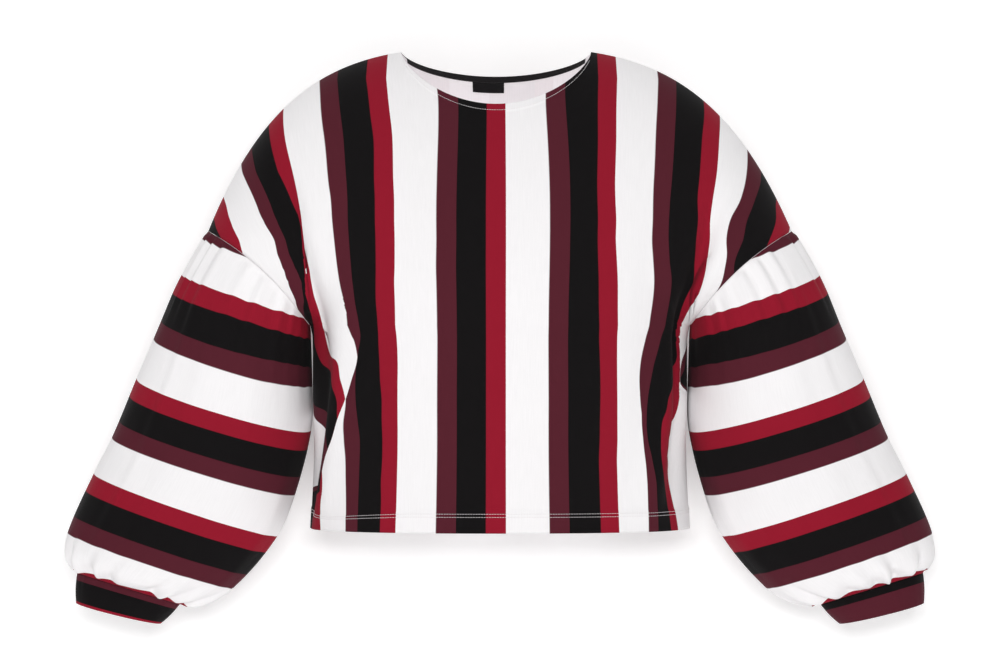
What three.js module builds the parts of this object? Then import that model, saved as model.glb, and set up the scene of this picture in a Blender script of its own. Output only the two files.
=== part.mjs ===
// A cropped jersey top with dropped shoulders and balloon sleeves, filled out as it is when worn.
// Sizes are in millimetres. +Z is up, -Y is the front and +X is the wearer's left.
// The origin is level with the high points of the shoulders, midway between them.
import * as THREE from 'three';

// Cloth
const clothThickness = 1.6;
const cuffThickness = 2.4;
const tapeThickness = 0.8;
const labelThickness = 0.7;
const seamGap = 0.3;
const armholeGap = 0.4;

// Cut of the body panels, measured across the cloth from the middle
const neckAcross = 99.5;
const neckOffset = -4;
const tipAcross = 351;
const sideAcross = 266;
const armholeCutCurve = 1.4;

// Neck opening
const neckShape = 1.24;
const frontNeckDrop = 59;
const backNeckDrop = 23;
const neckLineRise = 7.5;
const neckCutHalvings = 24;
const neckCutFade = 2.5;

// Shoulder line from the neck point to the tip of the dropped shoulder, as a cubic curve seen from the front
const shoulderHandles = [[neckAcross, 0], [186, -13], [252, -58], [306, -188]];
const shoulderEase = 0.75;

// Armhole ring: from the tip of the shoulder round the arm to the underarm
const armholeTip = { x: 306, z: -188 };
const underarm = { x: 199, z: -287 };
const armholeReach = 64;
const armholeFrontBulge = 10;
const armholeBackBulge = 4;

// Sections of the body below the underarm
const sectionPower = 2.4;
const bodySections = [
  { height: -287, halfWidth: 199.0, frontDepth: 124, backDepth: 112 },
  { height: -300, halfWidth: 196.6, frontDepth: 125, backDepth: 111 },
  { height: -362, halfWidth: 195.0, frontDepth: 127, backDepth: 109 },
  { height: -400, halfWidth: 193.8, frontDepth: 128, backDepth: 109 },
  { height: -435, halfWidth: 195.2, frontDepth: 129, backDepth: 111 },
  { height: -499, halfWidth: 198.6, frontDepth: 131, backDepth: 116 },
];

// How each panel leaves the top edge and comes down to the chest, as the pull of a cubic curve
const panelFalls = {
  front: { facing: -1, neckOut: 260, shoulderOut: 235, topDown: 75, chestDown: 300 },
  back: { facing: 1, neckOut: 320, shoulderOut: 215, topDown: 70, chestDown: 290 },
};
const shoulderShare = 1.6;
const armPull = 4 * armholeReach;
const armStart = 0.55;
const edgeStart = 0.6;

// Largest folds of the body. A fold runs from the height top to the height low, acrossTop and acrossLow
// are its places on the cloth there, depth is how far it sinks (or stands proud where it is negative)
// and reach is its half width.
const bodyFolds = [
  { panel: 'front', acrossTop: -232, top: -130, acrossLow: -212, low: -330, depth: 13, reach: 20 },
  { panel: 'front', acrossTop: 236, top: -170, acrossLow: 205, low: -345, depth: 13, reach: 20 },
  { panel: 'front', acrossTop: -168, top: -270, acrossLow: -205, low: -485, depth: -9, reach: 20 },
  { panel: 'front', acrossTop: 196, top: -290, acrossLow: 160, low: -480, depth: -9, reach: 20 },
  { panel: 'front', acrossTop: -196, top: -330, acrossLow: -236, low: -470, depth: 9, reach: 18 },
  { panel: 'front', acrossTop: 226, top: -330, acrossLow: 194, low: -460, depth: 9, reach: 18 },
  { panel: 'back', acrossTop: -236, top: -150, acrossLow: -206, low: -360, depth: 12, reach: 21 },
  { panel: 'back', acrossTop: 236, top: -150, acrossLow: 200, low: -370, depth: 12, reach: 21 },
  { panel: 'back', acrossTop: -150, top: -290, acrossLow: -186, low: -490, depth: -8, reach: 22 },
  { panel: 'back', acrossTop: 150, top: -280, acrossLow: 178, low: -490, depth: -8, reach: 22 },
];
const foldFade = 45;

// Rings of the sleeve. along runs down the cloth from the first crimson stripe, outer and inner are
// the edges seen from the front, halfDepth is half of the size from front to back, back is how far
// the ring lies behind the shoulder, and sag is how much lower its front is than its middle.
const sleeveRings = [
  { along: -52, outerX: 308, outerZ: -190, innerX: 201, innerZ: -240, halfDepth: 63, back: 0, sag: 2 },
  { along: 0, outerX: 335, outerZ: -235, innerX: 200, innerZ: -282, halfDepth: 67, back: 1, sag: 7 },
  { along: 70, outerX: 364, outerZ: -300, innerX: 200, innerZ: -352, halfDepth: 70, back: 8, sag: 9 },
  { along: 113, outerX: 382, outerZ: -341, innerX: 200.5, innerZ: -396, halfDepth: 71, back: 12, sag: 9 },
  { along: 183, outerX: 408, outerZ: -403, innerX: 215, innerZ: -463, halfDepth: 72, back: 14, sag: 6 },
  { along: 227, outerX: 427, outerZ: -441, innerX: 233, innerZ: -507, halfDepth: 72, back: 13, sag: 3 },
  { along: 297, outerX: 454, outerZ: -503, innerX: 279, innerZ: -562, halfDepth: 66, back: 7, sag: 0 },
  { along: 325, outerX: 456, outerZ: -528, innerX: 308, innerZ: -577, halfDepth: 57, back: 3, sag: -2 },
  { along: 349, outerX: 444, outerZ: -547, innerX: 336.5, innerZ: -580, halfDepth: 35, back: 0, sag: -3 },
];
const sleevePower = 2.15;
const sleeveStartTip = -49;
const sleeveStartUnderarm = 6;
const sleeveCapCurve = 3;
const sleeveBlendAlong = 70;

// Gathers of the sleeve
const armholeGathers = { count: 18, height: 2.3, rise: 9, fade: 62 };
const cuffGathers = { count: 14, height: 4.2, rise: 11, fade: 58 };
const gatherUnevenness = 0.35;
const gatherSlowCount = 5;
const bodySideCalm = 0.8;

// Cuff
const cuffLow = { outerX: 445, outerZ: -578, innerX: 356, innerZ: -600, halfDepth: 34 };

// Back neck tape and label. Rows count from the neck edge of the back panel's grid.
const tapeShare = 0.95;
const tapeRow = 0.95;
const labelCentreAcross = -13;
const labelWidth = 35;
const labelTopRow = 1.05;
const labelLowRow = 1.98;

// Mesh steps
const quarterSteps = 160;
const shoulderSteps = 11;
const neckSteps = 12;
const tapeDown = 0.045;
const labelDown = 0.13;
const chestRows = 10;
const lowerRows = 8;
const ringSteps = 72;
const cuffSteps = 36;
const chestStep = (1 - labelDown) / chestRows;
const chestStations = Array.from({ length: chestRows }, (_, row) => labelDown + chestStep * (row + 1));
const upperStations = [0, tapeDown, labelDown, ...chestStations];
const sleeveStations = [0, 0.018, 0.045, 0.1, 0.18, 0.3, 0.45, 0.6, 0.74, 0.85, 0.92, 0.97, 1];

function mix(from, to, share) {
  return from + (to - from) * share;
}

function ease(from, to, value) {
  const share = Math.min(1, Math.max(0, (value - from) / (to - from)));
  return share * share * (3 - 2 * share);
}

// A row between the rows of a table, on a smooth curve through every column
function smoothRow(table, key, value) {
  const last = table.length - 1;
  const sign = Math.sign(table[last][key] - table[0][key]);
  let index = 0;
  while (index < last - 1 && sign * (value - table[index + 1][key]) > 0) index += 1;
  const start = table[index];
  const end = table[index + 1];
  const before = table[Math.max(0, index - 1)];
  const after = table[Math.min(last, index + 2)];
  const span = end[key] - start[key];
  const share = Math.min(1, Math.max(0, (value - start[key]) / span));
  const row = {};
  for (const column of Object.keys(start)) {
    const slopeStart = (end[column] - before[column]) / (end[key] - before[key]);
    const slopeEnd = (after[column] - start[column]) / (after[key] - start[key]);
    row[column] = cubic(start[column], end[column], slopeStart * span, slopeEnd * span, share);
  }
  return row;
}

function cubic(from, to, pullFrom, pullTo, share) {
  const square = share * share;
  const cube = square * share;
  return (2 * cube - 3 * square + 1) * from + (3 * square - 2 * cube) * to
    + (cube - 2 * square + share) * pullFrom + (cube - square) * pullTo;
}

// A point on a quarter of a rounded section, at an equal share of its length
function quarterPoint(halfWidth, depth, share) {
  const power = 2 / sectionPower;
  const points = [];
  let length = 0;
  for (let step = 0; step <= quarterSteps; step += 1) {
    const angle = (Math.PI / 2) * (step / quarterSteps);
    const x = halfWidth * Math.sin(angle) ** power;
    const y = depth * Math.max(0, Math.cos(angle)) ** power;
    if (step > 0) length += Math.hypot(x - points[step - 1].x, y - points[step - 1].y);
    points.push({ x, y, length });
  }
  const wanted = share * length;
  let index = 1;
  while (index < quarterSteps && points[index].length < wanted) index += 1;
  const start = points[index - 1];
  const end = points[index];
  const part = (wanted - start.length) / (end.length - start.length);
  return { x: mix(start.x, end.x, part), y: mix(start.y, end.y, part) };
}

function sectionPoint(panel, height, across) {
  const row = smoothRow(bodySections, 'height', height);
  const depth = panel === 'front' ? row.frontDepth : row.backDepth;
  const quarter = quarterPoint(row.halfWidth, depth, Math.abs(across));
  const side = across < 0 ? -1 : 1;
  return new THREE.Vector3(side * quarter.x, panelFalls[panel].facing * quarter.y, height);
}

// The armhole ring. angle is 0 at the tip of the shoulder, a quarter turn at the front or back, half a turn
// at the underarm; facing is -1 on the front half and 1 on the back half.
function armholePoint(side, facing, angle) {
  const centreX = (armholeTip.x + underarm.x) / 2;
  const centreZ = (armholeTip.z + underarm.z) / 2;
  const halfX = (armholeTip.x - underarm.x) / 2;
  const halfZ = (armholeTip.z - underarm.z) / 2;
  const half = Math.hypot(halfX, halfZ);
  const bulge = (facing < 0 ? armholeFrontBulge : armholeBackBulge) * Math.sin(angle) ** 2;
  const x = centreX + halfX * Math.cos(angle) - bulge * (halfZ / half);
  const z = centreZ + halfZ * Math.cos(angle) + bulge * (halfX / half);
  return new THREE.Vector3(side * x, facing * armholeReach * Math.sin(angle), z);
}

// The way from the outside of the cloth to its inside at the armhole seam
function armholeInward(side, facing, angle) {
  const alongX = armholeTip.x - underarm.x;
  const alongZ = armholeTip.z - underarm.z;
  const length = Math.hypot(alongX, alongZ);
  const top = Math.max(0, Math.cos(angle));
  const low = Math.max(0, -Math.cos(angle));
  const x = -side * top * (alongX / length);
  const z = low - top * (alongZ / length);
  return new THREE.Vector3(x, -facing * Math.sin(angle), z).normalize();
}

// The outside and the inside of the cloth at the armhole seam, on the straight steps that the panels take
function seamPlace(side, facing, angle) {
  const down = angle / Math.PI;
  const passed = upperStations.filter((station) => station < down).length;
  const index = Math.min(upperStations.length - 1, Math.max(1, passed));
  const share = (down - upperStations[index - 1]) / (upperStations[index] - upperStations[index - 1]);
  const [start, end] = [index - 1, index].map((station) => {
    const turn = Math.PI * upperStations[station];
    const outer = armholePoint(side, facing, turn);
    return { outer, inner: outer.clone().addScaledVector(armholeInward(side, facing, turn), clothThickness) };
  });
  return { outer: start.outer.lerp(end.outer, share), inner: start.inner.lerp(end.inner, share) };
}

// How far across the cloth the armhole seam lies
function cutAcross(angle) {
  return sideAcross + (tipAcross - sideAcross) * ((1 + Math.cos(angle)) / 2) ** armholeCutCurve;
}

const shoulderCurve = new THREE.CubicBezierCurve(...shoulderHandles.map(([x, z]) => new THREE.Vector2(x, z)));

// How far from the middle of the neck a place on the top edge lies, with 1 at the neck point
function neckShare(cloth) {
  return Math.abs(cloth - neckOffset) / neckAcross;
}

// The line that a panel falls from: the shoulders, carried on across the neck opening
function fallLine(cloth) {
  const share = neckShare(cloth);
  if (share < 1) return new THREE.Vector3(cloth, 0, neckLineRise * (1 - share * share));
  const side = Math.sign(cloth);
  const length = side * (cloth - neckOffset) - neckAcross;
  const part = Math.min(1, length / (tipAcross - side * neckOffset - neckAcross));
  const along = part * mix(shoulderEase, 1, part);
  const point = shoulderCurve.getPointAt(along);
  return new THREE.Vector3(side * point.x + neckOffset * (1 - along), 0, point.y);
}

// How far down its fall a column of a panel is cut off by the neck opening
function neckCut(panel, across) {
  const share = neckShare(across * tipAcross);
  if (share >= 1) return 0;
  const drop = panel === 'front' ? frontNeckDrop : backNeckDrop;
  const wanted = -drop * Math.sqrt(1 - share * share) ** neckShape;
  let [above, below] = [0, 1];
  for (let step = 0; step < neckCutHalvings; step += 1) {
    const middle = (above + below) / 2;
    if (fallPoint(panel, across, middle).z > wanted) above = middle;
    else below = middle;
  }
  return (above + below) / 2;
}

// A point of a panel between its top edge and the underarm. across runs from -1 to 1 between
// the armhole seams and down from 0 at the top edge to 1 at the underarm.
function upperPoint(panel, across, down) {
  const side = across < 0 ? -1 : 1;
  const point = fallPoint(panel, across, down + neckCut(panel, across) * (1 - down) ** neckCutFade);
  const edge = armholePoint(side, panelFalls[panel].facing, Math.PI * down);
  const miss = edge.sub(fallPoint(panel, side, down));
  return point.addScaledVector(miss, ease(edgeStart, 1, Math.abs(across)));
}

// A point on the way from the line that a panel falls from to its section at the underarm
function fallPoint(panel, across, down) {
  const fall = panelFalls[panel];
  const start = fallLine(across * tipAcross);
  const end = sectionPoint(panel, underarm.z, across);
  const shoulder = ease(0, shoulderShare, neckShare(across * tipAcross));
  const arm = ease(armStart, 1, Math.abs(across));
  const outPull = mix(mix(fall.neckOut, fall.shoulderOut, shoulder), armPull, arm);
  const topPull = mix(fall.topDown, 0, arm);
  const chestPull = mix(fall.chestDown, 0, arm);
  const backPull = mix(0, armPull, arm);
  return new THREE.Vector3(
    cubic(start.x, end.x, 0, 0, down),
    cubic(start.y, end.y, fall.facing * outPull, -fall.facing * backPull, down),
    cubic(start.z, end.z, -topPull, -chestPull, down),
  );
}

// How far the folds push a point of the cloth inwards
function foldDepth(panel, cloth, height) {
  let depth = 0;
  for (const fold of bodyFolds) {
    if (fold.panel !== panel) continue;
    const share = (height - fold.top) / (fold.low - fold.top);
    const middle = mix(fold.acrossTop, fold.acrossLow, share);
    const distance = (cloth - middle) / fold.reach;
    const fade = ease(fold.top + foldFade, fold.top - foldFade, height)
      * ease(fold.low - foldFade, fold.low + foldFade, height);
    depth += fold.depth * fade * Math.exp(-distance * distance);
  }
  return depth;
}

// Places of a panel's columns, from -1 to 1, closer together at the neck points
function panelColumns() {
  const columns = [];
  const rightNeck = (neckOffset - neckAcross) / tipAcross;
  const leftNeck = (neckOffset + neckAcross) / tipAcross;
  for (let step = 0; step < shoulderSteps; step += 1) columns.push(mix(-1, rightNeck, step / shoulderSteps));
  for (let step = 0; step < neckSteps; step += 1) {
    const turn = -Math.cos(Math.PI * (step / neckSteps));
    columns.push((neckOffset + neckAcross * turn) / tipAcross);
  }
  for (let step = 0; step <= shoulderSteps; step += 1) columns.push(mix(leftNeck, 1, step / shoulderSteps));
  return columns;
}

// The outer points of a panel, a list of columns for each row, with their places on the cloth
function panelGrid(panel) {
  const rows = [];
  const lastUpper = upperStations.length - 1;
  for (let row = 0; row <= lastUpper + lowerRows; row += 1) {
    const upper = row <= lastUpper;
    const down = upper ? upperStations[row] : 1;
    const low = Math.max(0, (row - lastUpper) / lowerRows);
    const height = mix(underarm.z, bodySections.at(-1).height, low);
    const width = cutAcross(Math.PI * down);
    rows.push(panelColumns().map((across) => {
      const point = upper ? upperPoint(panel, across, down) : sectionPoint(panel, height, across);
      return { point, cloth: across * width, across, down, upper };
    }));
  }
  return rows;
}

// The way out of the cloth at each point of a grid
function gridOutward(rows, row, column, around) {
  const width = rows[0].length;
  const left = around ? (column + width - 1) % width : Math.max(0, column - 1);
  const right = around ? (column + 1) % width : Math.min(width - 1, column + 1);
  const above = Math.max(0, row - 1);
  const below = Math.min(rows.length - 1, row + 1);
  const across = rows[row][right].point.clone().sub(rows[row][left].point);
  const down = rows[below][column].point.clone().sub(rows[above][column].point);
  return down.cross(across).normalize();
}

function makePanel(panel) {
  const facing = panelFalls[panel].facing;
  const rows = panelGrid(panel);
  const lastColumn = rows[0].length - 1;
  const flat = rows.map((cells, row) => cells.map((cell, column) => (
    gridOutward(rows, row, column, false).multiplyScalar(-facing)
  )));
  rows.forEach((cells, row) => cells.forEach((cell, column) => {
    const edge = column === 0 || column === lastColumn;
    const fade = edge ? 0 : ease(1, 0.9, Math.abs(cell.across));
    cell.point.addScaledVector(flat[row][column], -fade * foldDepth(panel, cell.cloth, cell.point.z));
  }));
  const inner = rows.map((cells, row) => cells.map((cell, column) => {
    const inward = gridOutward(rows, row, column, false).multiplyScalar(facing);
    if (column === 0 || column === lastColumn) {
      const side = Math.sign(cell.across);
      if (cell.upper) inward.copy(armholeInward(side, facing, Math.PI * cell.down));
      else inward.set(-side, 0, 0);
    } else if (row === 0 && neckShare(cell.cloth) >= 1) {
      inward.setY(0).normalize();
    }
    return { point: cell.point.clone().addScaledVector(inward, clothThickness) };
  }));
  const shift = new THREE.Vector3(0, facing * (seamGap / 2), 0);
  for (const grid of [rows, inner]) grid.forEach((cells) => cells.forEach((cell) => cell.point.add(shift)));
  return { outer: rows, inner };
}

// A closed wall between an outer and an inner grid, open at its ends
function wallGeometry(outer, inner, around) {
  const width = outer[0].length;
  const height = outer.length;
  const positions = [...outer, ...inner].flatMap((cells) => cells.flatMap((cell) => cell.point.toArray()));
  const place = (layer, row, column) => (layer * height + row) * width + (column % width);
  const faces = [];
  const addQuad = (a, b, c, d, turned = false) => {
    if (turned) faces.push(a, b, d, b, c, d);
    else faces.push(a, b, c, a, c, d);
  };
  const columns = around ? width : width - 1;
  for (let row = 0; row < height - 1; row += 1) {
    for (let column = 0; column < columns; column += 1) {
      const next = column + 1;
      const corner = (down, right) => outer[row + down][(column + right) % width].point;
      const turned = corner(0, 0).distanceTo(corner(1, 1)) > corner(1, 0).distanceTo(corner(0, 1));
      const cell = (layer) => [
        place(layer, row, column),
        place(layer, row + 1, column),
        place(layer, row + 1, next),
        place(layer, row, next),
      ];
      const [a, b, c, d] = cell(1);
      addQuad(...cell(0), turned);
      addQuad(a, d, c, b, turned);
    }
  }
  for (let column = 0; column < columns; column += 1) {
    const next = column + 1;
    const low = height - 1;
    addQuad(place(0, 0, column), place(0, 0, next), place(1, 0, next), place(1, 0, column));
    addQuad(place(0, low, column), place(1, low, column), place(1, low, next), place(0, low, next));
  }
  if (!around) {
    const end = width - 1;
    for (let row = 0; row < height - 1; row += 1) {
      addQuad(place(0, row, 0), place(1, row, 0), place(1, row + 1, 0), place(0, row + 1, 0));
      addQuad(place(0, row, end), place(0, row + 1, end), place(1, row + 1, end), place(1, row, end));
    }
  }
  return faceOutwards(positions, faces);
}

// Turns every face round where the solid came out inside out
function faceOutwards(positions, faces) {
  const corner = (index) => new THREE.Vector3().fromArray(positions, index * 3);
  let volume = 0;
  for (let index = 0; index < faces.length; index += 3) {
    const [a, b, c] = [corner(faces[index]), corner(faces[index + 1]), corner(faces[index + 2])];
    volume += a.dot(b.cross(c)) / 6;
  }
  const geometry = new THREE.BufferGeometry();
  geometry.setAttribute('position', new THREE.Float32BufferAttribute(positions, 3));
  geometry.setIndex(volume > 0 ? faces : [...faces].reverse());
  geometry.computeVertexNormals();
  return geometry;
}

// A point of a ring seen from the front between an outer and an inner edge
function ringPoint(side, ring, angle) {
  const power = 2 / sleevePower;
  const chord = Math.sign(Math.cos(angle)) * Math.abs(Math.cos(angle)) ** power;
  const reach = Math.sign(Math.sin(angle)) * Math.abs(Math.sin(angle)) ** power;
  const x = mix(ring.innerX, ring.outerX, (1 + chord) / 2);
  const z = mix(ring.innerZ, ring.outerZ, (1 + chord) / 2) - ring.sag * reach;
  return new THREE.Vector3(side * x, ring.back - ring.halfDepth * reach, z);
}

// How far down the sleeve cloth the armhole seam lies, higher at the shoulder than at the underarm
function sleeveStart(angle) {
  const share = ((1 - Math.cos(angle)) / 2) ** sleeveCapCurve;
  return mix(sleeveStartTip, sleeveStartUnderarm, share);
}

// How far the gathers lift the cloth: waves that are zero at the seam, highest close to it, then fade
function gatherLift(gathers, distance, angle, phase) {
  const near = ease(0, gathers.rise, distance);
  const far = 1 - ease(gathers.rise, gathers.fade, distance);
  const uneven = 1 + gatherUnevenness * Math.sin(gatherSlowCount * angle + phase);
  return gathers.height * near * far * uneven * Math.sin(gathers.count * angle + phase);
}

function sleeveGrid(side) {
  const end = sleeveRings.at(-1).along;
  const seamStep = new THREE.Vector3(side * -(underarm.z - armholeTip.z), 0, -(armholeTip.x - underarm.x))
    .normalize();
  return sleeveStations.map((station, row) => {
    const cells = [];
    for (let column = 0; column < ringSteps; column += 1) {
      const angle = (2 * Math.PI * column) / ringSteps;
      const start = sleeveStart(angle);
      const along = mix(start, end, station);
      const point = ringPoint(side, smoothRow(sleeveRings, 'along', along), angle);
      const facing = Math.sin(angle) >= 0 ? -1 : 1;
      const turn = Math.acos(Math.cos(angle));
      const seam = row === 0 ? seamPlace(side, facing, turn).outer : armholePoint(side, facing, turn);
      const blend = ease(0, 1, (along - start) / sleeveBlendAlong);
      point.lerp(seam.addScaledVector(seamStep, armholeGap), 1 - blend);
      if (row === sleeveStations.length - 1) point.z += seamGap;
      cells.push({ point, angle, facing, turn, fromSeam: along - start, fromCuff: end - along });
    }
    return cells;
  });
}

function makeSleeve(side) {
  const rows = sleeveGrid(side);
  const outward = rows.map((cells, row) => cells.map((cell, column) => (
    gridOutward(rows, row, column, true).multiplyScalar(-side)
  )));
  rows.forEach((cells, row) => cells.forEach((cell, column) => {
    const calm = 1 - bodySideCalm * ease(0.3, 0.9, -Math.cos(cell.angle)) * ease(200, 120, cell.fromSeam);
    const lift = gatherLift(armholeGathers, cell.fromSeam, cell.angle, side)
      + gatherLift(cuffGathers, cell.fromCuff, cell.angle, 2 * side);
    cell.point.addScaledVector(outward[row][column], calm * lift);
  }));
  const inner = rows.map((cells, row) => cells.map((cell, column) => {
    const inward = gridOutward(rows, row, column, true).multiplyScalar(side * clothThickness);
    if (row === 0) {
      const seam = seamPlace(side, cell.facing, cell.turn);
      inward.subVectors(seam.inner, seam.outer);
    }
    return { point: cell.point.clone().add(inward) };
  }));
  return { outer: rows, inner };
}

function makeCuff(side) {
  const top = sleeveRings.at(-1);
  const outer = [top, cuffLow].map((ring) => {
    const cells = [];
    for (let column = 0; column < cuffSteps; column += 1) {
      const sag = ring.sag ?? 0;
      const angle = (2 * Math.PI * column) / cuffSteps;
      cells.push({ point: ringPoint(side, { back: 0, ...ring, sag }, angle) });
    }
    return cells;
  });
  const inner = outer.map((cells, row) => cells.map((cell, column) => {
    const inward = gridOutward(outer, row, column, true).multiplyScalar(side);
    return { point: cell.point.clone().addScaledVector(inward.setZ(0).normalize(), cuffThickness) };
  }));
  return { outer, inner };
}

// Where a place on the top edge falls among the columns of a panel's grid
function neckColumn(cloth) {
  return shoulderSteps + neckSteps * (Math.acos((neckOffset - cloth) / neckAcross) / Math.PI);
}

// A thin piece laid inside a panel, between places given as columns and rows of the panel's grid
function laidInside(panelWalls, columns, rows, thickness) {
  const between = (grid, row, column) => {
    const low = Math.floor(row);
    const left = Math.floor(column);
    const top = grid[low][left].point.clone().lerp(grid[low][left + 1].point, column - left);
    const bottom = grid[low + 1][left].point.clone().lerp(grid[low + 1][left + 1].point, column - left);
    return top.lerp(bottom, row - low);
  };
  const layer = (depth) => rows.map((row) => columns.map((column) => {
    const inside = between(panelWalls.inner, row, column);
    const inward = inside.clone().sub(between(panelWalls.outer, row, column)).normalize();
    return { point: inside.addScaledVector(inward, depth) };
  }));
  return { outer: layer(seamGap), inner: layer(seamGap + thickness) };
}

function makeTape(panelWalls) {
  const first = neckColumn(neckOffset - neckAcross * tapeShare);
  const last = neckColumn(neckOffset + neckAcross * tapeShare);
  const columns = [first];
  for (let column = Math.ceil(first); column < last; column += 1) columns.push(column);
  columns.push(last);
  return laidInside(panelWalls, columns, [0, tapeRow], tapeThickness);
}

function makeLabel(panelWalls) {
  const first = neckColumn(labelCentreAcross - labelWidth / 2);
  const last = neckColumn(labelCentreAcross + labelWidth / 2);
  const columns = [first, Math.round((first + last) / 2), last];
  return laidInside(panelWalls, columns, [labelTopRow, labelLowRow], labelThickness);
}

const stripedCloth = new THREE.MeshStandardMaterial({ color: 0xf6f3f4, roughness: 0.85, metalness: 0 });
const cuffCloth = new THREE.MeshStandardMaterial({ color: 0x54202a, roughness: 0.85, metalness: 0 });
const blackTape = new THREE.MeshStandardMaterial({ color: 0x1b191a, roughness: 0.8, metalness: 0 });
const blackLabel = new THREE.MeshStandardMaterial({ color: 0x1b191a, roughness: 0.6, metalness: 0 });

function addPiece(name, walls, around, material) {
  const mesh = new THREE.Mesh(wallGeometry(walls.outer, walls.inner, around), material);
  mesh.name = name;
  top.add(mesh);
}

const top = new THREE.Group();
const backWalls = makePanel('back');
addPiece('front_panel', makePanel('front'), false, stripedCloth);
addPiece('back_panel', backWalls, false, stripedCloth);
for (const [word, side] of [['right', -1], ['left', 1]]) {
  addPiece(`sleeve_${word}`, makeSleeve(side), true, stripedCloth);
  addPiece(`cuff_${word}`, makeCuff(side), true, cuffCloth);
}
addPiece('back_neck_tape', makeTape(backWalls), false, blackTape);
addPiece('neck_label', makeLabel(backWalls), false, blackLabel);

export default top;
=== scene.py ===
# %% [markdown]
# # A striped crop top with balloon sleeves
# This lesson dresses a cropped jersey top with dropped shoulders, a shallow round neck, gathered
# balloon sleeves and narrow cuffs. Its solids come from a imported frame, which gives their size and place.
# Every piece of cloth here is a finer shell on nearly the same form.
# Lengths are in metres, +Z is up, -Y is the front and +X is the wearer's left.

# %% Load the frame
import math

import bpy
import numpy as np
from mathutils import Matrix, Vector


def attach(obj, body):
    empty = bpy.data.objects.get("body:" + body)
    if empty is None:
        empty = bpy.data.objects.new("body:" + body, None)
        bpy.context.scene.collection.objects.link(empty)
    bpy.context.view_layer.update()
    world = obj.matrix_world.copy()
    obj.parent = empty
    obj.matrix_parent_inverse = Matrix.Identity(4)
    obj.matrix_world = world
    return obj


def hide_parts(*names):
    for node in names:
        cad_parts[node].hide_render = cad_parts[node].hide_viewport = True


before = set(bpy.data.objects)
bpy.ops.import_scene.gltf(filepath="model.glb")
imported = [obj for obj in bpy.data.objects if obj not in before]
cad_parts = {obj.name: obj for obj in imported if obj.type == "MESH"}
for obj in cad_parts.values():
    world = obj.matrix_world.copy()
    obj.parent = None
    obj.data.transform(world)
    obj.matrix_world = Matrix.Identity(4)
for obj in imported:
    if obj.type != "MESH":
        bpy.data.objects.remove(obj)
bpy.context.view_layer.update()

# %% [markdown]
# ## The camera
# The photograph looks straight at the front of the top. The lines of the top hardly converge, so the
# camera stands far back with a long lens. The lens follows from the size of one pixel at the shoulders.

# %% Place the camera
photo_width = 1008
pixel_size = 0.00105
camera_distance = 4.0
aim = Vector((0.0042, 0, -0.2982))

camera_data = bpy.data.cameras.new("camera")
camera_data.lens = camera_data.sensor_width * camera_distance / (photo_width * pixel_size)
camera = bpy.data.objects.new("camera", camera_data)
camera.location = aim + Vector((0, -camera_distance, 0))
camera.rotation_euler = (math.radians(90), 0, 0)
bpy.context.scene.collection.objects.link(camera)
bpy.context.scene.camera = camera
print("lens:", round(camera_data.lens, 1), "mm")

# %% [markdown]
# ## Helpers for smooth shapes
# A garment has few straight lines. A few small helpers do most of the work: a straight mix, a soft step,
# a cubic curve with a pull at each end, and a smooth curve through the rows of a short table.
# They all work on whole arrays, because a fine grid of cloth has tens of thousands of points.

# %% Mix, soft step and cubic curve
def mix(start, end, share):
    return start + (end - start) * share


def ease(start, end, value):
    share = np.clip((value - start) / (end - start), 0, 1)
    return share * share * (3 - 2 * share)


def cubic(start, end, pull_start, pull_end, share):
    square = share * share
    cube = square * share
    return ((2 * cube - 3 * square + 1) * start + (3 * square - 2 * cube) * end
            + (cube - 2 * square + share) * pull_start + (cube - square) * pull_end)


# %% Smooth curve through the rows of a table
def smooth_column(places, values, asked):
    """A smooth curve through values at rising places, flat beyond both ends."""
    places, values = np.asarray(places, float), np.asarray(values, float)
    last = len(places) - 1
    row = np.clip(np.searchsorted(places, asked, side="right") - 1, 0, last - 1)
    before, after = np.maximum(row - 1, 0), np.minimum(row + 2, last)
    span = places[row + 1] - places[row]
    share = np.clip((asked - places[row]) / span, 0, 1)
    slope_start = (values[row + 1] - values[before]) / (places[row + 1] - places[before])
    slope_end = (values[after] - values[row]) / (places[after] - places[row])
    return cubic(values[row], values[row + 1], slope_start * span, slope_end * span, share)


def smooth_rows(table, key, asked):
    """Every column of a table at the asked places, as arrays."""
    rows = sorted(table, key=lambda row: row[key])
    places = [row[key] for row in rows]
    asked = np.asarray(asked, float)
    return {name: smooth_column(places, [row[name] for row in rows], asked) for name in rows[0]}


print("soft step at a quarter:", ease(0, 1, 0.25))

# %% [markdown]
# ## The form of the body
# The body is two panels, front and back. Below the underarm each level is half of a rounded section.
# Above it every column of cloth falls from the shoulder line on a cubic curve, out over the chest or the
# back and down to the section at the underarm. The sides are led to the armhole ring.
# The solids were made with nearly the same sizes. A few were moved later to meet the photograph, by up to
# about 3 mm, so the fine cloth lies close to the solids and not exactly on them.

# %% Sizes of the cut and of the neck
neck_across = 0.0995
neck_offset = -0.004
tip_across = 0.351
side_across = 0.266
armhole_cut_curve = 1.4
neck_shape = 1.24
neck_drop = {"front": 0.059, "back": 0.023}
neck_line_rise = 0.0075
neck_cut_halvings = 24
neck_cut_fade = 2.5
seam_gap = 0.0003
armhole_gap = 0.0004
cloth_thickness = 0.0016

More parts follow.
